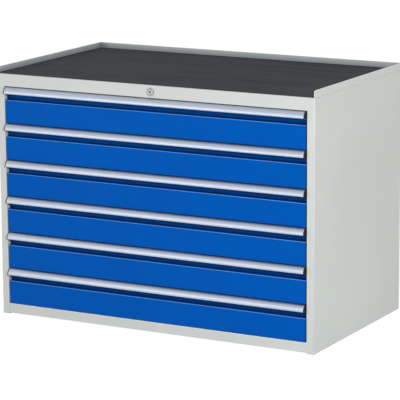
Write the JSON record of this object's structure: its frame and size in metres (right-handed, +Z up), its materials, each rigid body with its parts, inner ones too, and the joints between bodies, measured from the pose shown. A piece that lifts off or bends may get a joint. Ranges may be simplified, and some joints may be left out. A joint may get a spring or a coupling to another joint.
{
  "type": "workshop drawer cabinet",
  "caption": "Floor-standing sheet-steel cabinet with full-width drawers, curved grip rails, a central lock and a rimmed top tray with a ribbed mat.",
  "frame": {"origin": "centre of the overall footprint, on the floor", "axes": "+X along the front to the right as seen from the front, +Y to the back, +Z up; the drawers open towards -Y"},
  "size_m": [1.145, 0.663, 0.826],
  "materials": {
    "housing_paint": "light grey powder coat, fine texture",
    "front_paint": "blue powder coat, satin",
    "grip_aluminium": "satin anodised",
    "cap_plastic": "black moulded plastic",
    "mat_rubber": "ribbed, dark grey",
    "runner_steel": "zinc plated",
    "lock_chrome": "bright plated",
    "guide_plastic": "natural moulded plastic",
    "buffer_rubber": "black"
  },
  "bodies": {
    "cabinet": {"side_panel_left": "housing_paint", "side_panel_right": "housing_paint", "rear_panel": "housing_paint", "base_panel": "housing_paint", "top_panel": "housing_paint", "cover_tray": "housing_paint", "ribbed_mat": "mat_rubber", "runner_uprights": "runner_steel", "cabinet_channels_left": "runner_steel", "cabinet_channels_right": "runner_steel", "runner_buffers": "buffer_rubber", "lock_barrel": "lock_chrome", "lock_nut": "runner_steel", "lock_bar_guides": "runner_steel", "transfer_bar_guides": "guide_plastic"},
    "drawer_1": {"drawer_1_tray": "front_paint", "drawer_1_front": "front_paint", "drawer_1_grip": "grip_aluminium", "drawer_1_end_caps": "cap_plastic", "drawer_1_channels": "runner_steel"},
    "carriage_1": {"drawer_1_carriages": "runner_steel"},
    "drawer_2": {"drawer_2_tray": "front_paint", "drawer_2_front": "front_paint", "drawer_2_grip": "grip_aluminium", "drawer_2_end_caps": "cap_plastic", "drawer_2_channels": "runner_steel"},
    "carriage_2": {"drawer_2_carriages": "runner_steel"},
    "drawer_3": {"drawer_3_tray": "front_paint", "drawer_3_front": "front_paint", "drawer_3_grip": "grip_aluminium", "drawer_3_end_caps": "cap_plastic", "drawer_3_channels": "runner_steel"},
    "carriage_3": {"drawer_3_carriages": "runner_steel"},
    "drawer_4": {"drawer_4_tray": "front_paint", "drawer_4_front": "front_paint", "drawer_4_grip": "grip_aluminium", "drawer_4_end_caps": "cap_plastic", "drawer_4_channels": "runner_steel"},
    "carriage_4": {"drawer_4_carriages": "runner_steel"},
    "drawer_5": {"drawer_5_tray": "front_paint", "drawer_5_front": "front_paint", "drawer_5_grip": "grip_aluminium", "drawer_5_end_caps": "cap_plastic", "drawer_5_channels": "runner_steel"},
    "carriage_5": {"drawer_5_carriages": "runner_steel"},
    "drawer_6": {"drawer_6_tray": "front_paint", "drawer_6_front": "front_paint", "drawer_6_grip": "grip_aluminium", "drawer_6_end_caps": "cap_plastic", "drawer_6_channels": "runner_steel"},
    "carriage_6": {"drawer_6_carriages": "runner_steel"},
    "lock_plug": {"lock_plug": "lock_chrome", "lock_cam": "runner_steel"},
    "transfer_bar": {"transfer_bar": "runner_steel"},
    "lock_bar": {"lock_bar": "runner_steel"}
  },
  "joints": [
    {"name": "drawer_1_slide", "type": "slide", "parent": "cabinet", "child": "drawer_1", "axis": [0, -1, 0], "range_m": [0, 0.58]},
    {"name": "carriage_1_slide", "type": "slide", "parent": "cabinet", "child": "carriage_1", "axis": [0, -1, 0], "range_m": [0, 0.29]},
    {"name": "drawer_2_slide", "type": "slide", "parent": "cabinet", "child": "drawer_2", "axis": [0, -1, 0], "range_m": [0, 0.58]},
    {"name": "carriage_2_slide", "type": "slide", "parent": "cabinet", "child": "carriage_2", "axis": [0, -1, 0], "range_m": [0, 0.29]},
    {"name": "drawer_3_slide", "type": "slide", "parent": "cabinet", "child": "drawer_3", "axis": [0, -1, 0], "range_m": [0, 0.58]},
    {"name": "carriage_3_slide", "type": "slide", "parent": "cabinet", "child": "carriage_3", "axis": [0, -1, 0], "range_m": [0, 0.29]},
    {"name": "drawer_4_slide", "type": "slide", "parent": "cabinet", "child": "drawer_4", "axis": [0, -1, 0], "range_m": [0, 0.58]},
    {"name": "carriage_4_slide", "type": "slide", "parent": "cabinet", "child": "carriage_4", "axis": [0, -1, 0], "range_m": [0, 0.29]},
    {"name": "drawer_5_slide", "type": "slide", "parent": "cabinet", "child": "drawer_5", "axis": [0, -1, 0], "range_m": [0, 0.58]},
    {"name": "carriage_5_slide", "type": "slide", "parent": "cabinet", "child": "carriage_5", "axis": [0, -1, 0], "range_m": [0, 0.29]},
    {"name": "drawer_6_slide", "type": "slide", "parent": "cabinet", "child": "drawer_6", "axis": [0, -1, 0], "range_m": [0, 0.58]},
    {"name": "carriage_6_slide", "type": "slide", "parent": "cabinet", "child": "carriage_6", "axis": [0, -1, 0], "range_m": [0, 0.29]},
    {"name": "lock_turn", "type": "hinge", "parent": "cabinet", "child": "lock_plug", "pos_m": [0, -0.3185, 0.782], "axis": [0, 1, 0], "range_deg": [0, 90]},
    {"name": "transfer_bar_slide", "type": "slide", "parent": "cabinet", "child": "transfer_bar", "axis": [-1, 0, 0], "range_m": [0, 0.01414]},
    {"name": "lock_bar_slide", "type": "slide", "parent": "cabinet", "child": "lock_bar", "axis": [0, 0, -1], "range_m": [0, 0.01414]}
  ],
  "couplings": [
    {"joint": "carriage_1_slide", "follows": "drawer_1_slide", "ratio": 0.5},
    {"joint": "carriage_2_slide", "follows": "drawer_2_slide", "ratio": 0.5},
    {"joint": "carriage_3_slide", "follows": "drawer_3_slide", "ratio": 0.5},
    {"joint": "carriage_4_slide", "follows": "drawer_4_slide", "ratio": 0.5},
    {"joint": "carriage_5_slide", "follows": "drawer_5_slide", "ratio": 0.5},
    {"joint": "carriage_6_slide", "follows": "drawer_6_slide", "ratio": 0.5},
    {"joint": "transfer_bar_slide", "follows": "lock_bar_slide", "ratio": 1},
    {"joint": "lock_turn", "follows": "lock_bar_slide", "rad_per_m": 111.07}
  ]
}
